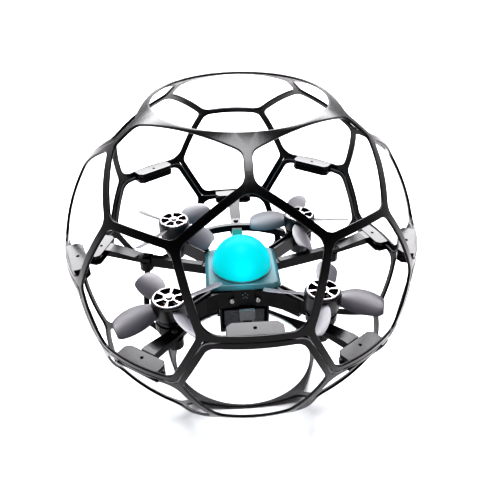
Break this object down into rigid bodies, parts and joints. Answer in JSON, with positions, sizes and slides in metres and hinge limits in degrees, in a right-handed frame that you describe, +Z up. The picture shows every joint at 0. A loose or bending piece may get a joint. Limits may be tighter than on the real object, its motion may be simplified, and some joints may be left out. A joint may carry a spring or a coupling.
{
  "type": "caged racing drone",
  "caption": "Small racing drone with a rotor at each corner, held by radial bars at the middle of a round lattice ball cage split at a zigzag belt",
  "frame": {"origin": "centre of the ball cage", "axes": "+Z up along the rotors, +X to the right of the drone, -Y the way its nose faces"},
  "size_m": [0.2, 0.1981, 0.1772],
  "materials": {
    "nylon": "satin black moulded nylon",
    "body_plastic": "satin black",
    "lid_plastic": "satin dark grey",
    "blade_plastic": "smooth dark grey, slightly glossy",
    "dome_plastic": "frosted cyan, lit from inside",
    "aluminium": "machined silver",
    "steel": "small bright hardware",
    "copper": "varnished windings on a laminated core",
    "board": "dark green circuit board",
    "rubber": "soft black",
    "connector": "plain grey",
    "sleeve": "dark blue shrink sleeve",
    "webbing": "black woven strap",
    "wire": "black silicone insulation"
  },
  "bodies": {
    "airframe_and_cage": {"cage_upper": "nylon", "cage_lower": "nylon", "mount_bar_1": "nylon", "mount_bar_2": "nylon", "mount_bar_3": "nylon", "mount_bar_4": "nylon", "mount_bar_5": "nylon", "drone_frame": "body_plastic", "battery_tray": "body_plastic", "top_lid": "lid_plastic", "light_dome": "dome_plastic", "tab_screw_1": "steel", "tab_screw_2": "steel", "tab_screw_3": "steel", "tab_screw_4": "steel", "tab_screw_5": "steel", "tab_screw_6": "steel", "tab_screw_7": "steel", "tab_screw_8": "steel", "tab_screw_9": "steel", "tab_screw_10": "steel", "bar_screw_1": "steel", "bar_screw_2": "steel", "bar_screw_3": "steel", "bar_screw_4": "steel", "bar_screw_5": "steel", "front_screw_1": "steel", "front_screw_2": "steel", "stator_front_left": "copper", "stator_front_right": "copper", "stator_rear_left": "copper", "stator_rear_right": "copper", "motor_wires_front_left": "wire", "motor_wires_front_right": "wire", "motor_wires_rear_left": "wire", "motor_wires_rear_right": "wire", "led_board": "board", "speed_controller": "board", "flight_controller": "board", "receiver": "board", "board_damper_1": "rubber", "board_damper_2": "rubber", "board_damper_3": "rubber", "board_damper_4": "rubber", "battery": "sleeve", "battery_strap": "webbing", "power_plug": "connector"},
    "rotor_front_left": {"motor_bell_front_left": "aluminium", "propeller_front_left": "blade_plastic", "motor_shaft_front_left": "steel"},
    "rotor_front_right": {"motor_bell_front_right": "aluminium", "propeller_front_right": "blade_plastic", "motor_shaft_front_right": "steel"},
    "rotor_rear_left": {"motor_bell_rear_left": "aluminium", "propeller_rear_left": "blade_plastic", "motor_shaft_rear_left": "steel"},
    "rotor_rear_right": {"motor_bell_rear_right": "aluminium", "propeller_rear_right": "blade_plastic", "motor_shaft_rear_right": "steel"}
  },
  "joints": [
    {"name": "spin_front_left", "type": "hinge", "parent": "airframe_and_cage", "child": "rotor_front_left", "pos_m": [-0.0415, -0.041, -0.01], "axis": [0, 0, 1], "continuous": true},
    {"name": "spin_front_right", "type": "hinge", "parent": "airframe_and_cage", "child": "rotor_front_right", "pos_m": [0.0415, -0.041, -0.01], "axis": [0, 0, 1], "continuous": true},
    {"name": "spin_rear_left", "type": "hinge", "parent": "airframe_and_cage", "child": "rotor_rear_left", "pos_m": [-0.0415, 0.041, -0.01], "axis": [0, 0, 1], "continuous": true},
    {"name": "spin_rear_right", "type": "hinge", "parent": "airframe_and_cage", "child": "rotor_rear_right", "pos_m": [0.0415, 0.041, -0.01], "axis": [0, 0, 1], "continuous": true}
  ]
}
